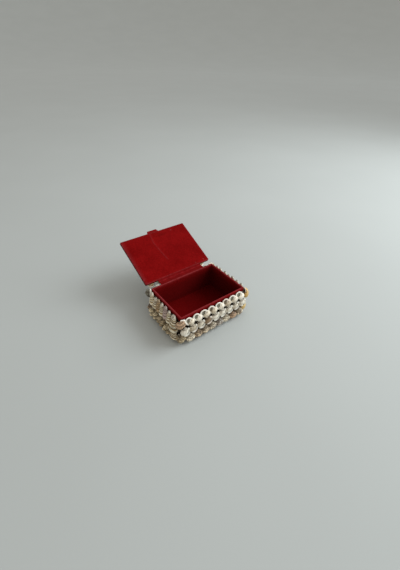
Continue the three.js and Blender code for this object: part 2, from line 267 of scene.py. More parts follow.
felt = make_felt()
print("felt has", len(felt.node_tree.nodes), "nodes")

# %% [markdown]
# ## Woven cloth
# The hinge is a strip of thin red cotton and the pull tab a satin ribbon. Both are woven, so two sets of
# fine waves cross at right angles: one follows X, the other runs along the strip and comes painted on
# the mesh as `run`, in millimetres, because the strip bends.

# %% Hinge cloth and ribbon
CLOTH_DEEP = (0.12, 0.0022, 0.0026)
CLOTH_RED = (0.19, 0.0045, 0.0052)
CLOTH_WEAR_AND_HIGHLIGHT = (0.30, 0.02, 0.025)
CLOTH_THREAD = 0.55 * MM
RIBBON_DEEP = (0.16, 0.003, 0.0035)
RIBBON_RED = (0.23, 0.006, 0.007)
RIBBON_THREAD = 0.35 * MM


def make_weave(name, deep, bright, thread, roughness, sheen):
    finish = Finish(name, Roughness=roughness, Sheen_Weight=sheen, Specular_IOR_Level=0.04)
    finish.shader.inputs["Sheen Tint"].default_value = (1.0, 0.2, 0.2, 1)
    across = finish.node("ShaderNodeSeparateXYZ", {}, {0: finish.place}, "X")
    along = finish.painted("run") * MM
    weft = (across * (FULL_TURN / thread)).sine()
    warp = (along * (FULL_TURN / thread)).sine()
    weave = (weft * warp) * 0.5 + 0.5
    patches = finish.noise(160, 3)
    colour = finish.mix(finish.step(patches * 0.7 + weave * 0.3, 0.3, 0.75), deep, bright)
    # Wear makes the cloth paler and pinker, and along the hinge strip's fold it paints a highlight.
    wear_and_highlight = finish.painted("wear_and_highlight") * finish.step(patches, 0.3, 0.7)
    finish.feed("Base Color", finish.mix(wear_and_highlight, colour, CLOTH_WEAR_AND_HIGHLIGHT))
    finish.bump(weave * 0.6 + patches * 0.4, 0.12 * MM, 0.35)
    return finish.material


hinge_cloth = make_weave("hinge_cloth", CLOTH_DEEP, CLOTH_RED, CLOTH_THREAD, 0.95, 0.0)
ribbon = make_weave("ribbon", RIBBON_DEEP, RIBBON_RED, RIBBON_THREAD, 0.7, 0.05)
print("threads:", round(CLOTH_THREAD / MM, 2), "and", round(RIBBON_THREAD / MM, 2), "mm")

# %% [markdown]
# ## Card and glue
# Between the shells the bare card shows, painted very dark as shade in the gaps. It needs no shape of its
# own, so the frame's own walls keep their place and only get this finish: brown card fibres with glossy
# amber smears.

# %% Card
# The card's colours are kept very dark as painted shade between the shells, with glue smears on it.
CARD_DEEP_SHADE = (0.02, 0.012, 0.007)
CARD_SOFT_SHADE = (0.06, 0.038, 0.023)
GLUE = (0.035, 0.02, 0.009)


def make_card():
    finish = Finish("card", Specular_IOR_Level=0.4)
    fibres = finish.noise(900, 4, 0.7)
    smears = finish.step(finish.noise(110, 3, 0.6), 0.48, 0.6)
    colour = finish.mix(fibres, CARD_DEEP_SHADE, CARD_SOFT_SHADE)
    finish.feed("Base Color", finish.mix(smears, colour, GLUE))
    finish.feed("Roughness", 0.9 - smears * 0.5)
    finish.bump(fibres * 0.5 + smears * 0.5, 0.2 * MM, 0.7)
    return finish.material


card = make_card()
for node in ("box_carcass", "lid_board"):
    frame["nodes"][node].data.materials.clear()
    frame["nodes"][node].data.materials.append(card)
print("card finish on the box and the lid board")

# %% [markdown]
# ## Shell finishes
# A shell is laid down line by line at its lip, so its colour follows its own growth: fine lines across
# the winding, spots and bands along it. Every shell carries painted values for this: `growth`, from 0 at
# the tip to 1 at the lip, `section`, once round the tube, `tone`, one random value for each shell,
# `inside`, which is 1 in the mouth and about a half on the lip, and `hollow`, where dirt and painted shade
# darken the shell between the turns and the ridges. The mouth is painted dark as shade inside it. One
# function turns them into a finish.

# %% Shell finish
WHITE = (0.90, 0.86, 0.76)
LIP_WHITE = (0.96, 0.93, 0.84)
LIP_BLUSH = (0.86, 0.72, 0.62)
MOUTH_SHADE_GREY = (0.26, 0.27, 0.22)
MOUTH_SHADE_BROWN = (0.22, 0.17, 0.12)
BAND_CREAM = (0.92, 0.85, 0.66)
TIP_CREAM = (0.90, 0.85, 0.72)
DIRT_AND_SHADE = (0.05, 0.032, 0.016)
GROWTH_LINES = 420


def make_shell_finish(name, pale, tint, spots, strays, spotting, gloss=0.35, banding=0.0):
    finish = Finish(name, Specular_IOR_Level=0.5, Coat_Weight=gloss, Coat_Roughness=0.22)
    growth = finish.painted("growth")
    section = finish.painted("section")
    tone = finish.painted("tone")
    inside = finish.painted("inside")
    chalk = finish.noise(260, 4, 0.6)
    grain = finish.noise(1500, 3, 0.6)
    winding = finish.vector(growth * 26, section * 7, tone * 40)
    blotches = finish.noise(1.0, 3, 0.6, place=winding)
    lines = (growth * GROWTH_LINES + chalk * 5).sine() * 0.5 + 0.5

    colour = finish.mix(finish.step(chalk * 0.5 + tone * 0.6, 0.4, 0.8), pale, tint)
    above_first = finish.step(tone, 0.06, 0.09)
    above_last = finish.step(tone, 0.91, 0.94)
    colour = finish.mix(1 - above_first, colour, strays[0])
    colour = finish.mix(above_last, colour, strays[1])
    colour = finish.mix(lines * 0.22, colour, spots)
    if banding:
        plain = above_first - above_last
        bulge = ((section - 0.47) * FULL_TURN).cosine()
        band = finish.step(bulge + (chalk - 0.5) * 0.7, 0.6, 0.9)
        colour = finish.mix(band * banding * (0.3 + plain * 0.7), colour, BAND_CREAM)
        rubbed_tip = 1 - finish.step(growth + (chalk - 0.5) * 0.3, 0.3, 0.6)
        colour = finish.mix(rubbed_tip * (0.2 + plain * 0.7), colour, TIP_CREAM)
    marked = finish.step(blotches + (tone - 0.5) * 0.14, 0.5, 0.58) * spotting
    colour = finish.mix(marked, colour, spots)
    # Dirt and painted shade darken the sutures and the pits between ribs and beads.
    dirt_and_shade = finish.step(finish.painted("hollow") + (chalk - 0.5) * 0.5, 0.45, 0.9)
    colour = finish.mix(dirt_and_shade * 0.88, colour, DIRT_AND_SHADE)

    blush = finish.step(tone * 0.6 + blotches * 0.4, 0.55, 0.75)
    lip = finish.mix(blush * 0.6, LIP_WHITE, LIP_BLUSH)
    on_lip = finish.step(inside, 0.2, 0.5)
    colour = finish.mix(on_lip, colour, lip)
    # The mouth is painted dark grey-brown as shade inside it.
    mouth = finish.mix(finish.step(chalk + (tone - 0.5) * 0.5, 0.4, 0.7), MOUTH_SHADE_GREY, MOUTH_SHADE_BROWN)
    colour = finish.mix(finish.step(inside + (chalk - 0.5) * 0.2, 0.66, 0.95), colour, mouth)
    finish.feed("Base Color", colour)
    finish.feed("Roughness", 0.42 + chalk * 0.2 + dirt_and_shade * 0.25 - on_lip * 0.12)
    finish.bump(lines * 0.4 + grain * 0.3 + chalk * 0.3, 0.12 * MM, 0.5)
    return finish.material


print("shell finish maker ready, with", GROWTH_LINES, "radians of growth lines on a shell")

# %% [markdown]
# ## The shells' colours
# Each finish gets its pale and its tinted ground, the colour of its spots, and two stray colours. A shell
# whose tone is under 0.06 takes the first stray, and one over 0.94 the second, for the few odd ones.

# %% Colours of the shells
PEACH = (0.58, 0.38, 0.23)
BROWN = (0.27, 0.17, 0.09)
ORANGE = (0.62, 0.36, 0.12)
MAUVE = (0.40, 0.27, 0.28)
OLIVE = (0.17, 0.165, 0.12)
SHELL_COLOURS = {
    "cream_shell": ((0.96, 0.91, 0.78), (0.72, 0.63, 0.47), (0.22, 0.14, 0.07), (PEACH, BROWN), 0.45),
    "grey_shell": ((0.88, 0.74, 0.47), (0.50, 0.36, 0.18), (0.07, 0.04, 0.018), (OLIVE, WHITE), 0.6),
    "brown_shell": ((1.0, 0.90, 0.69), (0.70, 0.49, 0.28), (0.09, 0.04, 0.018), (PEACH, WHITE), 0.75),
    "yellow_shell": (
        (0.72, 0.52, 0.20), (0.60, 0.39, 0.12), (0.40, 0.21, 0.05), (ORANGE, WHITE), 0.15, 0.6
    ),
    "banded_shell": (
        (0.48, 0.33, 0.13), (0.30, 0.20, 0.08), (0.07, 0.04, 0.015), (MAUVE, ORANGE), 0.6, 0.2, 1
    ),
}
SHELL_FINISHES = {name: make_shell_finish(name, *looks) for name, looks in SHELL_COLOURS.items()}
print("shell finishes:", ", ".join(SHELL_FINISHES))

# %% [markdown]
# ## Kinds of shells
# A sea snail grows by adding to its lip, and each turn is the last one enlarged and turned. So a few
# numbers describe a whole kind: how wide and high its mouth is, how far the mouth lies from the axis,
# how much wider each turn is than the last, and how many turns there are. The rest is relief: ribs run
# along the shell, cords run round it, and the lip and the callus spread at the mouth.


# %% Kinds of shells
class Kind:
    """How one kind of shell grows. Lengths are shares of the shell's own growing unit."""

    def __init__(self, mouth, centre, widening, turns, roll, **details):
        self.mouth = mouth
        self.centre = centre
        self.widening = widening
        self.turns = turns
        self.roll = math.radians(roll)
        self.steps = details.get("steps", 26)
        self.around = details.get("around", 20)
        self.shoulder = details.get("shoulder", 0.0)
        self.pinch = details.get("pinch", 0.3)
        self.fullness = details.get("fullness", 0.0)
        self.ribs = details.get("ribs", 0)
        self.rib_height = details.get("rib_height", 0)
        self.cords = details.get("cords", 0)
        self.cord_height = details.get("cord_height", 0)
        self.lip = details.get("lip", 0.05)
        self.callus = details.get("callus", 0.0)
        self.beaded = details.get("beaded", False)


KINDS = {
    "nassa": Kind(
        (0.57, 0.62), (0.43, 1.26), 1.75, 4.4, 12, shoulder=0.1, pinch=0.45,
        ribs=10, rib_height=0.03, cords=5, cord_height=0.012, lip=0.2, callus=0.22,
    ),
    "ridged": Kind(
        (0.45, 0.70), (0.46, 1.26), 1.7, 4.6, -4, shoulder=0.15, pinch=0.7,
        ribs=9, rib_height=0.08, cords=6, cord_height=0.03, lip=0.14, callus=0.14,
    ),
    "cerith": Kind(
        (0.42, 0.27), (0.36, 1.60), 1.33, 8, 150, steps=20, around=18, pinch=0.1, fullness=0.45,
        ribs=9, rib_height=0.05, lip=0.06,
    ),
    "turban": Kind(
        (0.50, 0.56), (0.44, 0.98), 1.85, 4.0, 160, steps=30, around=24,
        ribs=14, rib_height=0.075, cords=6, cord_height=0.05, lip=0.05, beaded=True,
    ),
    "snail": Kind((0.58, 0.58), (0.50, 0.66), 2.4, 3.4, 115, steps=30, around=22, lip=0.03),
}
print("kinds:", ", ".join(f"{name} {kind.turns} turns" for name, kind in KINDS.items()))

# %% [markdown]
# ## The mouth and the coil
# A shell can be made by repeating one move: extrude the outline of the mouth, turn it about the axis and
# shrink it towards the tip. The axis is Y with the tip at the origin, and the mouth faces +Z on the
# right, as on most sea snails. Points can't be followed by their number through an extrusion, so each
# carries its place round the tube and its turn as painted values.


# %% Mouth and coil
def shape_mouth(bm, kind, section):
    """The outline of the mouth: full at its lower end and drawn in towards the spire."""
    wide, high = kind.mouth
    ring = bmesh.ops.create_circle(bm, segments=kind.around, radius=1)["verts"]
    for v in ring:
        angle = math.atan2(v.co.y, v.co.x)
        v[section] = angle / FULL_TURN + 0.5
        rise = math.sin(angle)
        pinch = 1 - kind.pinch * max(0.0, rise) ** 1.5
        corner = 1 + kind.shoulder * max(0.0, math.sin(2 * angle)) * (math.cos(angle) > 0)
        v.co = Vector((math.cos(angle) * wide * pinch, rise * high, 0)) * corner
    bmesh.ops.translate(bm, verts=ring, vec=(kind.centre[0], -kind.centre[1], 0))
    return ring


def extrude_ring(bm, edges):
    """Extrudes a line of edges and gives back the new points and the new line."""
    made = bmesh.ops.extrude_edge_only(bm, edges=edges)["geom"]
    verts = [item for item in made if isinstance(item, bmesh.types.BMVert)]
    fresh = set(verts)
    ring = [e for e in bm.edges if e.is_boundary and e.verts[0] in fresh and e.verts[1] in fresh]
    return verts, ring


def coil(bm, kind, edges, layers):
    """Winds the outline of the mouth back to the tip and closes it there."""
    turn = FULL_TURN / kind.steps
    shrink = kind.widening ** (-1 / kind.steps)
    spin = Matrix.Rotation(turn, 3, "Y")
    total = int(kind.turns * kind.steps)
    for step in range(1, total + 1):
        verts, edges = extrude_ring(bm, edges)
        bmesh.ops.rotate(bm, verts=verts, cent=(0, 0, 0), matrix=spin)
        bmesh.ops.scale(bm, verts=verts, vec=(shrink,) * 3)
        for v in verts:
            v[layers["growth"]] = 1 - step / total
            v[layers["angle"]] = step * turn
    bmesh.ops.edgeloop_fill(bm, edges=edges)


print("a coil has", KINDS["turban"].steps, "steps a turn on a turban shell")

# %% [markdown]
# ## Ribs, cords and beads
# The ridges come after the coil, by pushing each point out along its normal. Two waves are enough: one
# along the winding gives ribs, one round the tube gives cords, and where both are high a turban shell has
# a bead. The same waves say how deep a point lies between them, for the dirt and painted shade in the
# finish.

# %% Relief of the shells
LIP_SPAN = 0.55
SUTURE_PLACE = 0.73


def fade(distance, width):
    """1 at a place, falling straight to 0 at a distance from it."""
    return max(0.0, 1 - distance / width)


def relief_of(kind, turned, around):
    """How far a point stands out, as a share of the whorl's size there."""
    rib = max(0.0, math.cos(kind.ribs * turned)) if kind.ribs else 0
    cord = math.cos(FULL_TURN * kind.cords * around) if kind.cords else 0
    if kind.beaded:
        return kind.cord_height * cord + kind.rib_height * rib * (0.5 + 0.5 * cord)
    return kind.cord_height * cord + kind.rib_height * rib


def pit_of(kind, turned, around):
    """How deep a point lies between the beads or the ribs, from 0 to 1."""
    rib = 0.5 + 0.5 * math.cos(kind.ribs * turned)
    if kind.beaded:
        cord = 0.5 + 0.5 * math.cos(FULL_TURN * kind.cords * around)
        return 0.85 * (1 - rib * cord) ** 2
    return 0.6 * (1 - rib) ** 2 * min(1, kind.rib_height / 0.06)


def raise_relief(bm, kind, layers, start):
    """Pushes the points out to ribs, cords and a thick lip, and paints where dirt and painted shade darken it."""
    bmesh.ops.recalc_face_normals(bm, faces=bm.faces)
    bm.normal_update()
    moves = {}
    for v in bm.verts:
        turned = v[layers["angle"]]
        around = v[layers["section"]]
        size = kind.widening ** (-turned / FULL_TURN)
        near_lip = fade(turned, LIP_SPAN)
        out = relief_of(kind, turned + start, around) + kind.lip * near_lip**1.5
        moves[v] = v.normal * (out * size)
        v[layers["inside"]] = 0.5 * near_lip
        suture = max(0.0, math.cos(FULL_TURN * (around - SUTURE_PLACE))) ** 3
        v[layers["hollow"]] = max(suture, pit_of(kind, turned + start, around))
    for v, move in moves.items():
        v.co += move


print("beads on a turban shell:", KINDS["turban"].ribs, "by", KINDS["turban"].cords, "a turn")

# %% [markdown]
# ## The lip
# The mouth gets its rolled lip and its hollow from the same move as the coil: its outline is extruded
# forwards and outwards, over the crest of the lip and then down inside, where it is closed. On the side
# near the axis the lip spreads over the shell as a callus.

# %% Lip and mouth
# Each loop of the lip: its size against the mouth, how far forward it stands, and how much it is mouth.
LIP = [
    (1.06, 0.05, 0.5), (0.97, 0.11, 0.5), (0.8, 0.11, 0.5),
    (0.66, 0.03, 0.6), (0.56, -0.12, 1), (0.44, -0.26, 1),
]
CALLUS_LOOPS = 3


def add_lip(bm, kind, edges, layers):
    """Rolls the lip forwards, spreads its inner side over the shell and hollows the mouth."""
    middle = Vector((kind.centre[0], -kind.centre[1], 0))
    ends = {v for e in edges for v in e.verts}
    start = {v: v.co.copy() for v in ends}
    for step, (size, forward, inside) in enumerate(LIP):
        verts, edges = extrude_ring(bm, edges)
        followed = {}
        for v in verts:
            older = next(e.other_vert(v) for e in v.link_edges if e.other_vert(v) in start)
            followed[v] = start[older]
        for v, first in followed.items():
            inner = max(0.0, (middle.x - first.x) / kind.mouth[0])
            spread = kind.callus * inner * fade(step, CALLUS_LOOPS)
            shift = Vector((-spread, spread * 0.6, forward + spread * 0.35))
            v.co = middle + (first - middle) * size + shift
            v[layers["inside"]] = inside
            v[layers["hollow"]] = 0
            v[layers["growth"]] = 1
        start = followed
    bmesh.ops.edgeloop_fill(bm, edges=edges)


print("a lip has", len(LIP), "loops")

# %% [markdown]
# ## Winding the shells
# No two shells are alike, but wound shells have many faces. So four copies of each kind are wound, each
# with its own start of the ribs and its own roll about the axis, and the rows draw on them in turn. The
# result is fitted into a block one unit wide, long and deep, ready to be placed.

# %% Unit shells
PAINTED = ("growth", "section", "inside", "hollow", "tone", "angle")
COPIES = 4
ROLL_SPREAD = 9
TIP_LIMIT = 0.03


def limits(points):
    """The lowest and highest corner of the box round some points."""
    low = Vector(min(p[i] for p in points) for i in range(3))
    high = Vector(max(p[i] for p in points) for i in range(3))
    return low, high


def fit_to_unit(bm):
    low, high = limits([v.co for v in bm.verts])
    size = high - low
    bmesh.ops.translate(bm, verts=bm.verts, vec=(-(low.x + high.x) / 2, -high.y, -low.z))
    bmesh.ops.scale(bm, verts=bm.verts, vec=(1 / size.x, 1 / size.y, 1 / size.z))
    bmesh.ops.translate(bm, verts=bm.verts, vec=(0, 1, 0))


def wind_shell(name, kind, seed):
    """A unit shell as a mesh, with its painted values."""
    chance = random.Random(seed)
    bm = bmesh.new()
    layers = {key: bm.verts.layers.float.new(key) for key in PAINTED}
    ring = shape_mouth(bm, kind, layers["section"])
    mouth_edges = list(bm.edges)
    for v in ring:
        v[layers["growth"]] = 1
    coil(bm, kind, mouth_edges, layers)
    raise_relief(bm, kind, layers, chance.uniform(0, FULL_TURN))
    add_lip(bm, kind, mouth_edges, layers)
    bmesh.ops.recalc_face_normals(bm, faces=bm.faces)

    length = max(-v.co.y for v in bm.verts)
    for v in bm.verts:
        fuller = max(-v.co.y / length, TIP_LIMIT) ** -kind.fullness
        v.co = Vector((v.co.x * fuller, v.co.y, v.co.z * fuller))
    roll = kind.roll + math.radians(chance.uniform(-ROLL_SPREAD, ROLL_SPREAD))
    bmesh.ops.rotate(bm, verts=bm.verts, cent=(0, 0, 0), matrix=Matrix.Rotation(roll, 3, "Y"))
    fit_to_unit(bm)
    for face in bm.faces:
        face.smooth = True
    mesh = bpy.data.meshes.new(name)
    bm.to_mesh(mesh)
    bm.free()
    return mesh


UNITS = {}
for index, (name, kind) in enumerate(KINDS.items()):
    UNITS[name] = [wind_shell(f"{name}_{copy}", kind, 10 * index + copy) for copy in range(COPIES)]
    print(name, "has", len(UNITS[name][0].polygons), "faces")

# %% [markdown]
# ## Placing one shell
# A row's own frame has X along the row, Y up and Z out of the wall. A unit shell is copied into the row's
# mesh by one matrix, which is read from right to left: centre the shell, scale it, turn it, lean it, move
# it to its place and take it to the wall. Its tone is painted afterwards, because each copy has its own.


# %% Placing a shell
def local_box(node, place):
    """The lowest and highest corner of a CAD node, measured in a frame of its own."""
    into = place.inverted()
    return limits([into @ v.co for v in frame["nodes"][node].data.vertices])


def add_shell(bm, unit, place, centre, low, back, size, tone, spin, lean):
    """Adds one shell: its middle, lower end and back, its size, its tone, its turn and its lean."""
    before = set(bm.verts)
    bm.from_mesh(unit)
    fresh = [v for v in bm.verts if v not in before]
    scale = Matrix.Diagonal((*size, 1))
    upright = Matrix.Translation((0, -0.5, 0))
    turn = Matrix.Rotation(lean, 4, "X") @ Matrix.Rotation(spin, 4, "Z")
    middle = Matrix.Translation((centre, low + size.y / 2, back + size.z / 2))
    centred = Matrix.Translation((0, 0, -size.z / 2))
    bmesh.ops.transform(bm, matrix=place @ middle @ turn @ centred @ scale @ upright, verts=fresh)
    tones = bm.verts.layers.float["tone"]
    for v in fresh:
        v[tones] = tone


low, high = local_box("front_shells_top", Matrix.Rotation(math.pi / 2, 4, "X"))
print("the front's top row measures", [round(v / MM, 1) for v in high - low], "mm")

# %% [markdown]
# ## Pieces of the model
# Every mesh becomes an object at the origin, unturned and unscaled, with its place in its points. A piece
# then rides on the box or on the lid and stands for the frame's plain solids, which it hides.


# %% Making a piece
def make_object(bm, name, material):
    mesh = bpy.data.meshes.new(name)
    bm.to_mesh(mesh)
    bm.free()
    mesh.materials.append(material)
    made = bpy.data.objects.new(name, mesh)
    bpy.context.scene.collection.objects.link(made)
    return made


def finish_piece(bm, name, material, body, *nodes, slot):
    """Makes a piece that rides on a body and stands for some of the frame's nodes."""
    piece = make_object(bm, name, material)
    if body:
        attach(piece, body)
    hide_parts(*nodes)
    return piece


def slot_of(node):
    return next(s["material_slot"] for s in frame["record"]["subparts"] if s["node"] == node)


print("the front right corner's slot is", slot_of("corner_front_right_top"))

# %% [markdown]
# ## Filling a row
# Each row in the frame is one solid whose place and size are known. Its points are measured in the row's
# own frame, and the row is filled with as many shells as it has, each fitted to its share of the length
# and nudged a little, because the real ones were picked and glued by hand. A few shells that stand out in
# the photograph are given their tone outright, which picks the first or the second stray colour.

# %% Filling a row
TOUCH = 0.7 * MM
SPIN_SPREAD = 7
SPIRE_LIFT = 0.3 * MM
STRAYS = {
    ("corner_front_left_top", 0): 0,
    ("corner_back_left_top", 0): 0,
    ("left_shells_top", 2): 1,
    ("left_shells_top", 4): 0,
    ("front_shells_middle", 3): 1,
    ("front_shells_bottom", 4): 1,
    ("front_shells_bottom", 6): 0,
}
LEAN = {"nassa": -10, "ridged": 3, "cerith": -4}
WIDTH = {"cerith": 1.22, "ridged": 1.06}
LENGTH = {"nassa": 0.70, "turban": 1.06}
DEPTH = {"nassa": 1.05, "ridged": 1.1, "turban": 1.15, "cerith": 1.06}


def fill_row(node, place, count, kind, body, spire_down=False, seed=0, grow=1.0, sink=0.0, drop=0.0):
    """Fills the place of one row of the frame with its shells, as one piece."""
    low, high = local_box(node, place)
    pitch = (high.x - low.x - TOUCH) / count
    chance = random.Random(seed)
    lean = math.radians(LEAN.get(kind, 0))
    bm = bmesh.new()
    for key in PAINTED:
        bm.verts.layers.float.new(key)
    for i in range(count):
        size = grow * Vector((
            (pitch + 0.5 * TOUCH) * chance.uniform(1.04, 1.16) * WIDTH.get(kind, 1),
            (high.y - low.y) * chance.uniform(0.95, 1.04) * LENGTH.get(kind, 1),
            (high.z - low.z) * chance.uniform(0.94, 1.04) * DEPTH.get(kind, 1),
        ))
        centre = (low.x + high.x) / 2 + (i + 0.5 - count / 2) * pitch * grow
        bottom = high.y - size.y + SPIRE_LIFT if spire_down else low.y - drop
        turned_over = math.pi if spire_down else 0
        spin = turned_over + math.radians(chance.uniform(-SPIN_SPREAD, SPIN_SPREAD))
        unit = UNITS[kind][(i + seed) % COPIES]
        tone = STRAYS.get((node, i), chance.uniform(0.1, 0.9))
        add_shell(bm, unit, place, centre, bottom, low.z - sink, size, tone, spin, lean)
    slot = slot_of(node)
    finish = SHELL_FINISHES["banded_shell" if kind == "cerith" else slot]
    finish_piece(bm, "dressed_" + node, finish, body, node, slot=slot)


print(len(STRAYS), "shells are given their own tone")

# %% [markdown]
# ## The walls
# The front and back walls carry small dog whelks. The top row has its spires pointing down and its mouths
# outwards, and the middle row's spires point up between them. The side walls carry tall banded horn
# shells up to the rim. Small beaded turban shells fill the sides' middle rows and the lowest row all
# round. Each wall is the same job, turned about the upright axis, so a table and one loop make all four.

# %% Shells on the walls
WALLS = {
    "front": (0, (8, 9, 8), ("nassa", "ridged", "turban")),
    "right": (90, (7, 6, 7), ("cerith", "turban", "turban")),
    "back": (180, (8, 9, 8), ("nassa", "ridged", "turban")),
    "left": (-90, (6, 5, 6), ("cerith", "turban", "turban")),
}
SIDE_MIDDLE_GROWTH = 1.14


def wall_frame(degrees):
    """X along the wall, Y up, Z straight out of it."""
    return Matrix.Rotation(math.radians(degrees), 4, "Z") @ Matrix.Rotation(math.pi / 2, 4, "X")


for seed, (wall, (degrees, counts, kinds)) in enumerate(WALLS.items()):
    for level, count, kind in zip(("top", "middle", "bottom"), counts, kinds):
        node = f"{wall}_shells_{level}"
        upside_down = level == "top" and kind == "nassa"
        grow = SIDE_MIDDLE_GROWTH if level == "middle" and kind == "turban" else 1
        fill_row(node, wall_frame(degrees), count, kind, "box", upside_down, 7 * seed + len(level), grow)
print("shells on the walls:", sum(sum(counts) for _, counts, _ in WALLS.values()))

# %% [markdown]
# ## Shells at the corners
# Two large shells close each corner, one above the other: glossy yellow moon snails at the front right,
# as in the photograph, and turban shells elsewhere. They are set a little deeper than the rows, so that
# they nestle against their neighbours. Two more tall shells end the left wall's rows.

# %% Corner and end shells
CORNERS = {"front_right": 45, "back_right": 135, "back_left": -135, "front_left": -45}
CORNER_GROWTH = 1.16
CORNER_SINK = 2 * MM
END_SHELLS = {"top": (1.2, 4.6 * MM), "bottom": (1.12, 0)}
for corner, degrees in CORNERS.items():
    for level in ("top", "bottom"):
        node = f"corner_{corner}_{level}"
        kind = "snail" if slot_of(node) == "yellow_shell" else "turban"
        seed = degrees + len(level)
        fill_row(
            node, wall_frame(degrees), 1, kind, "box", level == "top", seed,
            grow=CORNER_GROWTH, sink=CORNER_SINK,
        )
for level, (grow, drop) in END_SHELLS.items():
    fill_row(f"left_end_shell_{level}", wall_frame(-90), 1, "cerith", "box", seed=3, grow=grow, drop=drop)
print("corner shells:", 2 * len(CORNERS), "and end shells:", len(END_SHELLS))

# %% [markdown]
# ## Shells on the lid
# The lid stands open, so its own frame is turned about the fold. In that frame it is closed: its felt
# faces down and its shells stand up in two rings round one large shell. This side isn't seen in the
# photograph, so it repeats the kinds of the walls in a plain order.

# %% Lid shells
lid_frame = Matrix.Translation(fold) @ Matrix.Rotation(-lid_turn, 4, "X")
SIDES = {"front": 0, "right": 90, "back": 180, "left": 270}
RINGS = {"outer": ((7, 3, 7, 3), "ridged"), "inner": ((5, 2, 5, 2), "turban")}
OUTER_DROP = 2.4 * MM
INNER_GROWTH = 1.15
for ring, (counts, kind) in RINGS.items():
    for (side, degrees), count in zip(SIDES.items(), counts):
        node = f"lid_shells_{ring}_{side}"
        place = lid_frame @ Matrix.Rotation(math.radians(degrees), 4, "Z")
        drop = OUTER_DROP if ring == "outer" and side != "back" else 0
        grow = INNER_GROWTH if ring == "inner" else 1
        fill_row(node, place, count, kind, "lid", seed=degrees + len(ring), grow=grow, drop=drop)
fill_row("lid_centre_shell", lid_frame @ Matrix.Rotation(math.pi / 2, 4, "Z"), 1, "snail", "lid", seed=5)
print("shells on the lid:", 1 + sum(sum(counts) for counts, _ in RINGS.values()))

# %% [markdown]
# ## How the felt runs over the rim
# One piece of felt covers the inside, goes over the rim and ends as a collar outside. Its path is drawn
# first, as pairs that say how far inside the outline a loop of points stands and how high: up the collar,
# round the outer edge, across the rim, round the inner edge and down the wall to the floor.

# %% Profile of the box lining
FELT = 0.6 * MM
COLLAR = 6 * MM
WALL_THICKNESS = 2.8 * MM
OUTER_ROUND = 0.8 * MM
INNER_ROUND = 0.9 * MM
QUARTER = [math.pi / 6 * i for i in range(4)]
DOWN = 12

low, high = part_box("box_lining")
rim_width, rim_depth, rim_top = high.x - low.x, high.y - low.y, high.z
floor_top = low.z + FELT
profile = [(0, rim_top - share * COLLAR) for share in (1, 0.7, 0.4)]
for angle in QUARTER:
    profile.append((OUTER_ROUND * (1 - math.cos(angle)), rim_top - OUTER_ROUND * (1 - math.sin(angle))))
for share in (0.35, 0.65):
    profile.append((OUTER_ROUND + (WALL_THICKNESS - OUTER_ROUND - INNER_ROUND) * share, rim_top))
for angle in QUARTER:
    inset = WALL_THICKNESS - INNER_ROUND * (1 - math.sin(angle))
    profile.append((inset, rim_top - INNER_ROUND * (1 - math.cos(angle))))
wall_top = rim_top - INNER_ROUND
wall_low = floor_top + 1.2 * MM
for i in range(1, DOWN + 1):
    profile.append((WALL_THICKNESS, wall_top - (wall_top - wall_low) * i / DOWN))
profile.append((WALL_THICKNESS + 0.4 * MM, floor_top + 0.35 * MM))
profile.append((WALL_THICKNESS + 1.4 * MM, floor_top))
print("the lining's profile has", len(profile), "points")

# %% [markdown]
# ## The outline of the box's felt
# Seen from above, the felt is a rectangle with round corners, which gets smaller from the collar to the
# floor. Corners keep a radius as it does, or they would fold over. So each point of the outline keeps the
# centre of its corner and the way outwards, and its place is worked out afresh for every loop.

# %% Outline of the box lining
CORNER = 2 * MM
LEAST_CORNER = 0.4 * MM


def corner_points(width, depth, radius, per_corner, per_side):
    """Points round a rectangle with round corners: a centre, the way outwards and the corner's way."""
    signs = ((1, 1), (-1, 1), (-1, -1), (1, -1))
    centres = [Vector((x * (width / 2 - radius), y * (depth / 2 - radius), 0)) for x, y in signs]
    points = []
    for index, centre in enumerate(centres):
        for step in range(per_corner + 1):
            angle = math.pi / 2 * (index + step / per_corner)
            outwards = Vector((math.cos(angle), math.sin(angle), 0))
            points.append((centre, outwards, Vector((*signs[index], 0))))
        facing = points[-1][1]
        after = centres[(index + 1) % 4]
        count = per_side[index % 2]
        for step in range(1, count):
            points.append((centre.lerp(after, step / count), facing, facing))
    return points


def lining_point(index, inset, height):
    """One point of a loop that stands so far inside the outline and so high."""
    centre, outwards, cornerwards = around[index]
    reach = max(LEAST_CORNER, CORNER - inset)
    point = centre - cornerwards * (reach - CORNER + inset) + outwards * reach
    point.z = height
    return point


around = corner_points(rim_width, rim_depth, CORNER, 5, (26, 18))
print("the outline has", len(around), "points")

# %% [markdown]
# ## The box's felt
# The outline is extruded once for each point of the profile, just as the felt was laid, and closed at the
# floor. A slow and a quick wave of noise keep the walls from looking machined. The paint gives the rim
# wear and a painted highlight, and the depths, more so on the right, painted shade.

# %% Box lining
FELT_SHEET = 0.45 * MM


def unevenness(point, size, amount):
    """A smooth random rise or fall, at most as large as the amount, over waves of the size."""
    return noise.noise(point * (1 / size)) * amount


def make_sheet(bm, thickness):
    """Turns the faces outwards, smooths them and gives them a thickness."""
    bmesh.ops.recalc_face_normals(bm, faces=bm.faces)
    for face in bm.faces:
        face.smooth = True
    bmesh.ops.solidify(bm, geom=bm.faces[:], thickness=thickness)


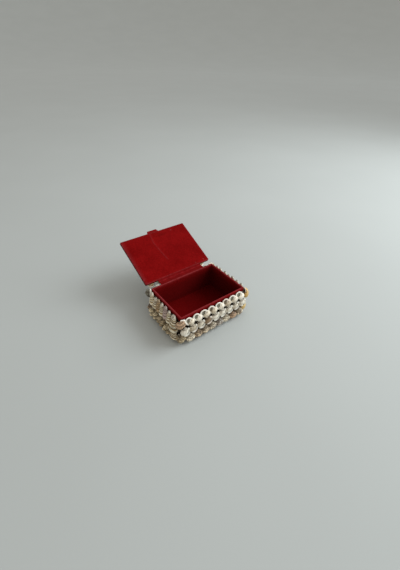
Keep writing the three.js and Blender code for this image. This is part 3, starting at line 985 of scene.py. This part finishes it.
bm = bmesh.new()
wear_and_highlight = bm.verts.layers.float.new("wear_and_highlight")
shaded = bm.verts.layers.float.new("shaded")
verts = bmesh.ops.create_circle(bm, segments=len(around), radius=1)["verts"]
edges = list(bm.edges)
for index, v in enumerate(verts):
    v.co = lining_point(index, *profile[0])
for inset, height in profile[1:]:
    new_verts, edges = extrude_ring(bm, edges)
    fresh = set(new_verts)
    linked = {}
    for v in new_verts:
        older = next(e.other_vert(v) for e in v.link_edges if e.other_vert(v) not in fresh)
        linked[older] = v
    verts = [linked[v] for v in verts]
    for index, v in enumerate(verts):
        v.co = lining_point(index, inset, height)
        wave = unevenness(v.co, 9 * MM, 0.22 * MM) + unevenness(v.co, 3 * MM, 0.08 * MM)
        v.co += around[index][1] * wave
        v.co.z += wave * 0.3 if height > rim_top - 2 * MM else 0
        # The rim gets wear and a painted highlight; below it the felt gets painted shade, deeper down and towards
        # the right.
        below_rim = (rim_top - height) / MM
        v[wear_and_highlight] = fade(below_rim, 1.4) * (0.6 + 0.5 * noise.noise(v.co * 150))
        depth = min(1.0, below_rim / 12) * (0.7 + 0.3 * v.co.x / (rim_width / 2))
        v[shaded] = depth if inset > 1.5 * MM else 0.2
bmesh.ops.edgeloop_fill(bm, edges=edges)
make_sheet(bm, FELT_SHEET)
print("lining:", len(profile), "loops of", len(around), "points")
finish_piece(bm, "dressed_box_lining", felt, "box", "box_lining", slot="felt")

# %% [markdown]
# ## What lies under the lid's felt
# The ribbon of the pull tab is glued under the lid's felt and shows as a faint crooked ridge. A path of
# points traces it, in millimetres across the lid and back from its front edge, and the height of the felt
# falls off with the distance from that path. Bits of fluff are given by their place and their radius.

# %% Ridge and fluff
RIDGE = [(-7, 79), (-9.7, 61.5), (-7.4, 43.8), (-4.7, 27)]
LINT = [(-33, 3.2, 1.1), (33, 3.4, 1.2), (30, 76, 0.9), (49, 5, 0.7), (-52, 6, 0.6)]


def distance_to_path(x, s, path):
    best = 1e9
    for (x0, s0), (x1, s1) in zip(path, path[1:]):
        along = Vector((x1 - x0, s1 - s0))
        reach = max(0.0, min(1.0, Vector((x - x0, s - s0)).dot(along) / along.length_squared))
        best = min(best, (Vector((x - x0, s - s0)) - along * reach).length)
    return best


def hill(distance, width):
    """1 at a place, falling off smoothly on both sides of it."""
    return math.exp(-((distance / width) ** 2))


print("the ridge is", round(sum(math.dist(a, b) for a, b in zip(RIDGE, RIDGE[1:])), 1), "mm long")

# %% [markdown]
# ## The lid's felt
# The lid's lining is a flat sheet folded round the edges of the card. A grid keeps it easy to shape: its
# corners are pulled round, low hills are pushed into it where something lies underneath, and its border is
# folded up. The felt lies flat along the border, where the closed lid rests on the rim.

# %% Lid lining
COLUMNS, ROWS = 96, 68
FULLNESS = Vector((1.6, 1.2, 0)) * MM
LID_CORNER = 1.8 * MM
LID_SHEET = 0.4 * MM
RIM_REST = 6.5

lid_low, lid_high = local_box("lid_lining", lid_frame)
lid_size = lid_high - lid_low + FULLNESS
lid_centre = (lid_low + lid_high) / 2
bm = bmesh.new()
wear_and_highlight = bm.verts.layers.float.new("wear_and_highlight")
lint = bm.verts.layers.float.new("lint")
shaded = bm.verts.layers.float.new("shaded")
bmesh.ops.create_grid(bm, x_segments=COLUMNS, y_segments=ROWS, size=0.5)
bmesh.ops.scale(bm, verts=bm.verts, vec=(lid_size.x, lid_size.y, 1))
for v in bm.verts:
    dx = abs(v.co.x) - (lid_size.x / 2 - LID_CORNER)
    dy = abs(v.co.y) - (lid_size.y / 2 - LID_CORNER)
    if dx > 0 and dy > 0:
        pull = max(dx, dy) / math.hypot(dx, dy)
        v.co.x = math.copysign(lid_size.x / 2 - LID_CORNER + dx * pull, v.co.x)
        v.co.y = math.copysign(lid_size.y / 2 - LID_CORNER + dy * pull, v.co.y)
border = [e for e in bm.edges if e.is_boundary]
for v in bm.verts:
    x = v.co.x / MM
    s = (lid_size.y / 2 - v.co.y) / MM
    edge = min(lid_size.x / 2 - abs(v.co.x), lid_size.y / 2 - abs(v.co.y)) / MM
    ridge = hill(distance_to_path(x, s, RIDGE), 1.0) * 0.65
    tail = 0.3 * fade(abs(x + 1), 10) * max(0.0, (s - 60) / 20)
    wave = unevenness(Vector((x, s, 3)), 16, 0.16) + unevenness(Vector((x, s, 9)), 5, 0.06)
    roll = -0.35 * fade(edge, 0.8) ** 2
    pressed = max(0.05, min(1, (edge - RIM_REST) / 3))
    v.co.z = -((ridge + tail + wave) * pressed + roll) * MM
    # Along the edges and the hinge edge the felt gets wear and a painted highlight; the left side and the ridge
    # are made paler too, and one patch is darkened.
    edge_wear_and_highlight = fade(edge, 2.6) * 0.55 + fade(s, 1.8) * 0.5
    rubbed_left = fade(lid_size.x / 2 / MM + x, 7) * 0.5
    lid_wear_and_highlight = min(1, edge_wear_and_highlight + rubbed_left + ridge * 0.65)
    v[wear_and_highlight] = lid_wear_and_highlight * (0.6 + 0.5 * noise.noise(Vector((x, s, 0)) * 0.4))
    v[shaded] = 0.4 * hill(x - 12, 9) * hill(s - 73, 3)
    v[lint] = max([0.0] + [1.1 - math.dist((x, s), (lx, ls)) / r for lx, ls, r in LINT])
# The folded border gets painted shade and no wear.
for lift in (0.4, 0.7, 1.0):
    made, border = extrude_ring(bm, border)
    for v in made:
        v.co.z = lid_size.z * lift
        v[wear_and_highlight] = 0
        v[shaded] = 0.8
make_sheet(bm, LID_SHEET)
print("lid felt:", len(bm.faces), "faces")
move = lid_frame @ Matrix.Translation((lid_centre.x, lid_centre.y, lid_low.z))
bmesh.ops.transform(bm, matrix=move, verts=bm.verts)
finish_piece(bm, "dressed_lid_lining", felt, "lid", "lid_lining", slot="felt")

# %% [markdown]
# ## The path of the hinge cloth
# A single strip of cloth is glued down the back of the collar, crosses to the lid and is glued up the
# lid's edge. Seen from the side it is a line, so its points are laid out first: up the collar, over its
# top, across the gap with a slight sag and a crease, and up the lid.

# %% Path of the hinge strip
SPAN = 10
SAG = -0.9 * MM
CREASE_RISE = 0.25 * MM

hinge_low, hinge_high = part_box("hinge_cloth_box")
half_width = (hinge_high.x - hinge_low.x) / 2
leg_low, leg_high = local_box("hinge_cloth_lid", lid_frame)
path = [Vector((0, hinge_low.y, hinge_low.z)), Vector((0, hinge_low.y, hinge_high.z - 0.8 * MM))]
path.append(Vector((0, hinge_low.y + 0.25 * MM, hinge_high.z - 0.2 * MM)))
path.append(Vector((0, hinge_low.y + 1 * MM, hinge_high.z)))
collar_edge = path[-1]
lid_edge = lid_frame @ Vector((0, leg_low.y + 0.3 * MM, leg_low.z + 0.1 * MM))
for i in range(1, SPAN + 1):
    share = i / SPAN
    sag = SAG * math.sin(math.pi * share) + CREASE_RISE * hill(share - 0.55, 0.08)
    path.append(collar_edge.lerp(lid_edge, share) + Vector((0, 0, sag)))
for rise in (0.35, 0.7, 1):
    path.append(lid_frame @ Vector((0, leg_low.y, leg_low.z + (leg_high.z - leg_low.z) * rise)))
print("the strip follows", len(path), "points")

# %% [markdown]
# ## The hinge strip
# A straight row of edges is extruded from point to point of the path. Because the lid turns about the
# fold, the strip is blended between the two bodies there, so that it bends instead of breaking.

# %% Hinge strip
CLOTH = 0.45 * MM
BEND = 2.2 * MM


def extrude_path(bm, width, segments, points, run):
    """Extrudes a straight row of edges from point to point and gives back the length in millimetres."""
    start = bmesh.ops.create_grid(bm, x_segments=segments, y_segments=1, size=0.5)["verts"]
    bmesh.ops.delete(bm, geom=[v for v in start if v.co.y > 0], context="VERTS")
    for v in bm.verts:
        v.co = Vector((v.co.x * width, 0, 0)) + points[0]
    edges = list(bm.edges)
    length = 0
    for before, after in zip(points, points[1:]):
        verts, edges = extrude_ring(bm, edges)
        length += (after - before).length / MM
        bmesh.ops.translate(bm, verts=verts, vec=after - before)
        for v in verts:
            v[run] = length
    return length


bm = bmesh.new()
run = bm.verts.layers.float.new("run")
wear_and_highlight = bm.verts.layers.float.new("wear_and_highlight")
travelled = extrude_path(bm, 2 * half_width, 60, path, run)
for v in bm.verts:
    # A painted highlight, with some wear, runs along the fold.
    v[wear_and_highlight] = 0.8 * hill(v.co.y - fold.y, 0.55 * MM)
    v.co.z += unevenness(v.co, 6 * MM, 0.18 * MM)
    ragged = fade(half_width - abs(v.co.x), 1 * MM)
    v.co.x += math.copysign(ragged * unevenness(v.co + Vector((0, 0, 1)), 1.5 * MM, 0.4 * MM), v.co.x)
make_sheet(bm, CLOTH)
nodes_of_strip = ("hinge_cloth_box", "hinge_cloth_lid")
strip = finish_piece(bm, "hinge_strip", hinge_cloth, None, *nodes_of_strip, slot="hinge_cloth")
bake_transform(strip, "box", "lid", start=fold - Vector((0, BEND, 0)), end=fold + Vector((0, BEND, 0)))
print("hinge strip:", round(2 * half_width / MM, 1), "by", round(travelled, 1), "mm")

# %% [markdown]
# ## The outline of the pull tab
# The tab is a ribbon folded into a flat loop and glued under the felt. Its side view is a long drop: two
# layers pressed together that part and round over at the end. Most of a turn of an ellipse gives the loop,
# and two straight tails lead it under the felt.

# %% Outline of the pull tab
THICK = 0.4 * MM
LOOP_STEPS = 16
LOOP_TURN = 0.86

tab_low, tab_high = local_box("pull_tab", lid_frame)
tab_width = tab_high.x - tab_low.x
reach = lid_low.y - tab_low.y
tab_middle = (tab_low.z + tab_high.z) / 2
loop_half = (tab_high.z - tab_low.z) / 2
outline = []
for i in range(LOOP_STEPS + 1):
    angle = math.pi * (2 * i / LOOP_STEPS - 1) * LOOP_TURN
    out = reach * (0.52 + 0.48 * math.cos(angle))
    outline.append(Vector((0, lid_low.y - out, tab_middle + (loop_half - THICK / 2) * math.sin(angle))))
tail_low = Vector((0, tab_high.y, tab_middle - THICK / 2))
tail_high = Vector((0, tab_high.y, tab_middle + THICK / 2))
outline = [tail_low, tail_low.lerp(outline[0], 0.8)] + outline + [tail_high.lerp(outline[-1], 0.8), tail_high]
print("the loop reaches", round(reach / MM, 1), "mm past the lid")

# %% [markdown]
# ## The pull tab
# That outline is extruded across like the hinge strip. Then the ribbon is drawn in and stretched a little
# towards its tip, as a pulled loop is, and its edges are painted worn where fingers have rubbed them.

# %% Pull tab
ROOT_WIDTH = 1.15
TIP_NARROWING = 0.3
TIP_STRETCH = 0.12

bm = bmesh.new()
run = bm.verts.layers.float.new("run")
wear_and_highlight = bm.verts.layers.float.new("wear_and_highlight")
travelled = extrude_path(bm, tab_width, 22, outline, run)
for v in bm.verts:
    out = max(0.0, (lid_low.y - v.co.y) / reach)
    width = ROOT_WIDTH - TIP_NARROWING * out
    v.co.x *= width
    v.co.y -= TIP_STRETCH * reach * out
    v[wear_and_highlight] = 0.5 * fade(tab_width / 2 * width - abs(v.co.x), 1.2 * MM) * min(1, out * 3)
make_sheet(bm, THICK)
bmesh.ops.transform(bm, matrix=lid_frame, verts=bm.verts)
loop = finish_piece(bm, "ribbon_loop", ribbon, "lid", "pull_tab", slot="ribbon")
print("ribbon:", round(tab_width / MM, 1), "by", round(travelled, 1), "mm")

# %% [markdown]
# ## The floor
# The box stands on a pale cool grey sheet. It is one large flat grid with a faint grain.

# %% Floor
FLOOR_REACH = 20
FLOOR_GREYS = ((0.434, 0.461, 0.456), (0.447, 0.475, 0.470))


def make_floor_finish():
    finish = Finish("floor", Roughness=0.75, Specular_IOR_Level=0.25)
    broad = finish.noise(3, 2)
    fine = finish.noise(500, 3, 0.6)
    patchy = finish.step(broad * 0.8 + fine * 0.2, 0.3, 0.7)
    finish.feed("Base Color", finish.mix(patchy, *FLOOR_GREYS))
    finish.bump(fine, 0.05 * MM, 0.3)
    return finish.material


floor_finish = make_floor_finish()
bm = bmesh.new()
bmesh.ops.create_grid(bm, x_segments=8, y_segments=8, size=FLOOR_REACH)
floor = make_object(bm, "floor", floor_finish)
print("the floor reaches", FLOOR_REACH, "m each way")

# %% [markdown]
# ## The sweep
# Far behind the box the floor would end in a hard line. Studios hang a sheet in a curve there. Here a
# wide circle is extruded outwards, each ring higher than the last. It is hidden from every ray but the
# camera's own, so that it closes the picture and leaves the light on the box as it is.

# %% Sweep
SWEEP_START = 5
SWEEP_WIDTH = 15
SWEEP_RISE = 12
SWEEP_STEPS = 24

bm = bmesh.new()
bmesh.ops.create_circle(bm, segments=128, radius=SWEEP_START)
edges = list(bm.edges)
radius = SWEEP_START
for step in range(1, SWEEP_STEPS + 1):
    share = step / SWEEP_STEPS
    verts, edges = extrude_ring(bm, edges)
    wider = (SWEEP_START + SWEEP_WIDTH * share) / radius
    radius *= wider
    bmesh.ops.scale(bm, verts=verts, vec=(wider, wider, 1))
    for v in verts:
        v.co.z = SWEEP_RISE * share**2
for face in bm.faces:
    face.smooth = True
sweep = make_object(bm, "sweep", floor_finish)
sweep.visible_diffuse = False
sweep.visible_glossy = False
sweep.visible_shadow = False
print("the sweep rises", SWEEP_RISE, "m over", SWEEP_WIDTH, "m")

# %% [markdown]
# ## The light
# The light is soft and comes from the right, as from a window, so the inside of the box falls into shade
# and a broad faint shadow lies to the left. One large area lamp does that. The sky fills in the rest. It
# is stronger and cooler on the right and weaker and warmer on the left.

# %% Lamp and sky
WINDOW_PLACE = Vector((1.05, -0.42, 0.9))
WINDOW_SIDE = 0.9
WINDOW_POWER = 15
WINDOW_COLOUR = (0.95, 1.0, 1.02)
SKY_LEAST = 0.42
SKY_GAIN = 0.52
SKY_LEFT = (1.10, 1.0, 0.88)
SKY_RIGHT = (0.96, 1.0, 1.01)

window_data = bpy.data.lights.new("window", "AREA")
window_data.shape = "RECTANGLE"
window_data.size = WINDOW_SIDE
window_data.size_y = WINDOW_SIDE
window_data.energy = WINDOW_POWER
window_data.color = WINDOW_COLOUR
window = bpy.data.objects.new("window", window_data)
window.location = WINDOW_PLACE
window.rotation_euler = (-WINDOW_PLACE).to_track_quat("-Z", "Y").to_euler()
bpy.context.scene.collection.objects.link(window)

world = bpy.data.worlds.new("sky")
world.use_nodes = True
nodes = Nodes(world.node_tree)
view = nodes.node("ShaderNodeTexCoord", {}, {}, "Generated")
share = nodes.node("ShaderNodeSeparateXYZ", {}, {0: view}, "X") * 0.5 + 0.5
strength = share * SKY_GAIN + SKY_LEAST
tint = nodes.mix(share, SKY_LEFT, SKY_RIGHT)
sky = world.node_tree.nodes["Background"]
world.node_tree.links.new(tint.socket, sky.inputs["Color"])
world.node_tree.links.new(strength.socket, sky.inputs["Strength"])
bpy.context.scene.world = world
bpy.context.scene.view_settings.view_transform = "Standard"
print("the sky's strength runs from", SKY_LEAST, "to", round(SKY_LEAST + SKY_GAIN, 2))
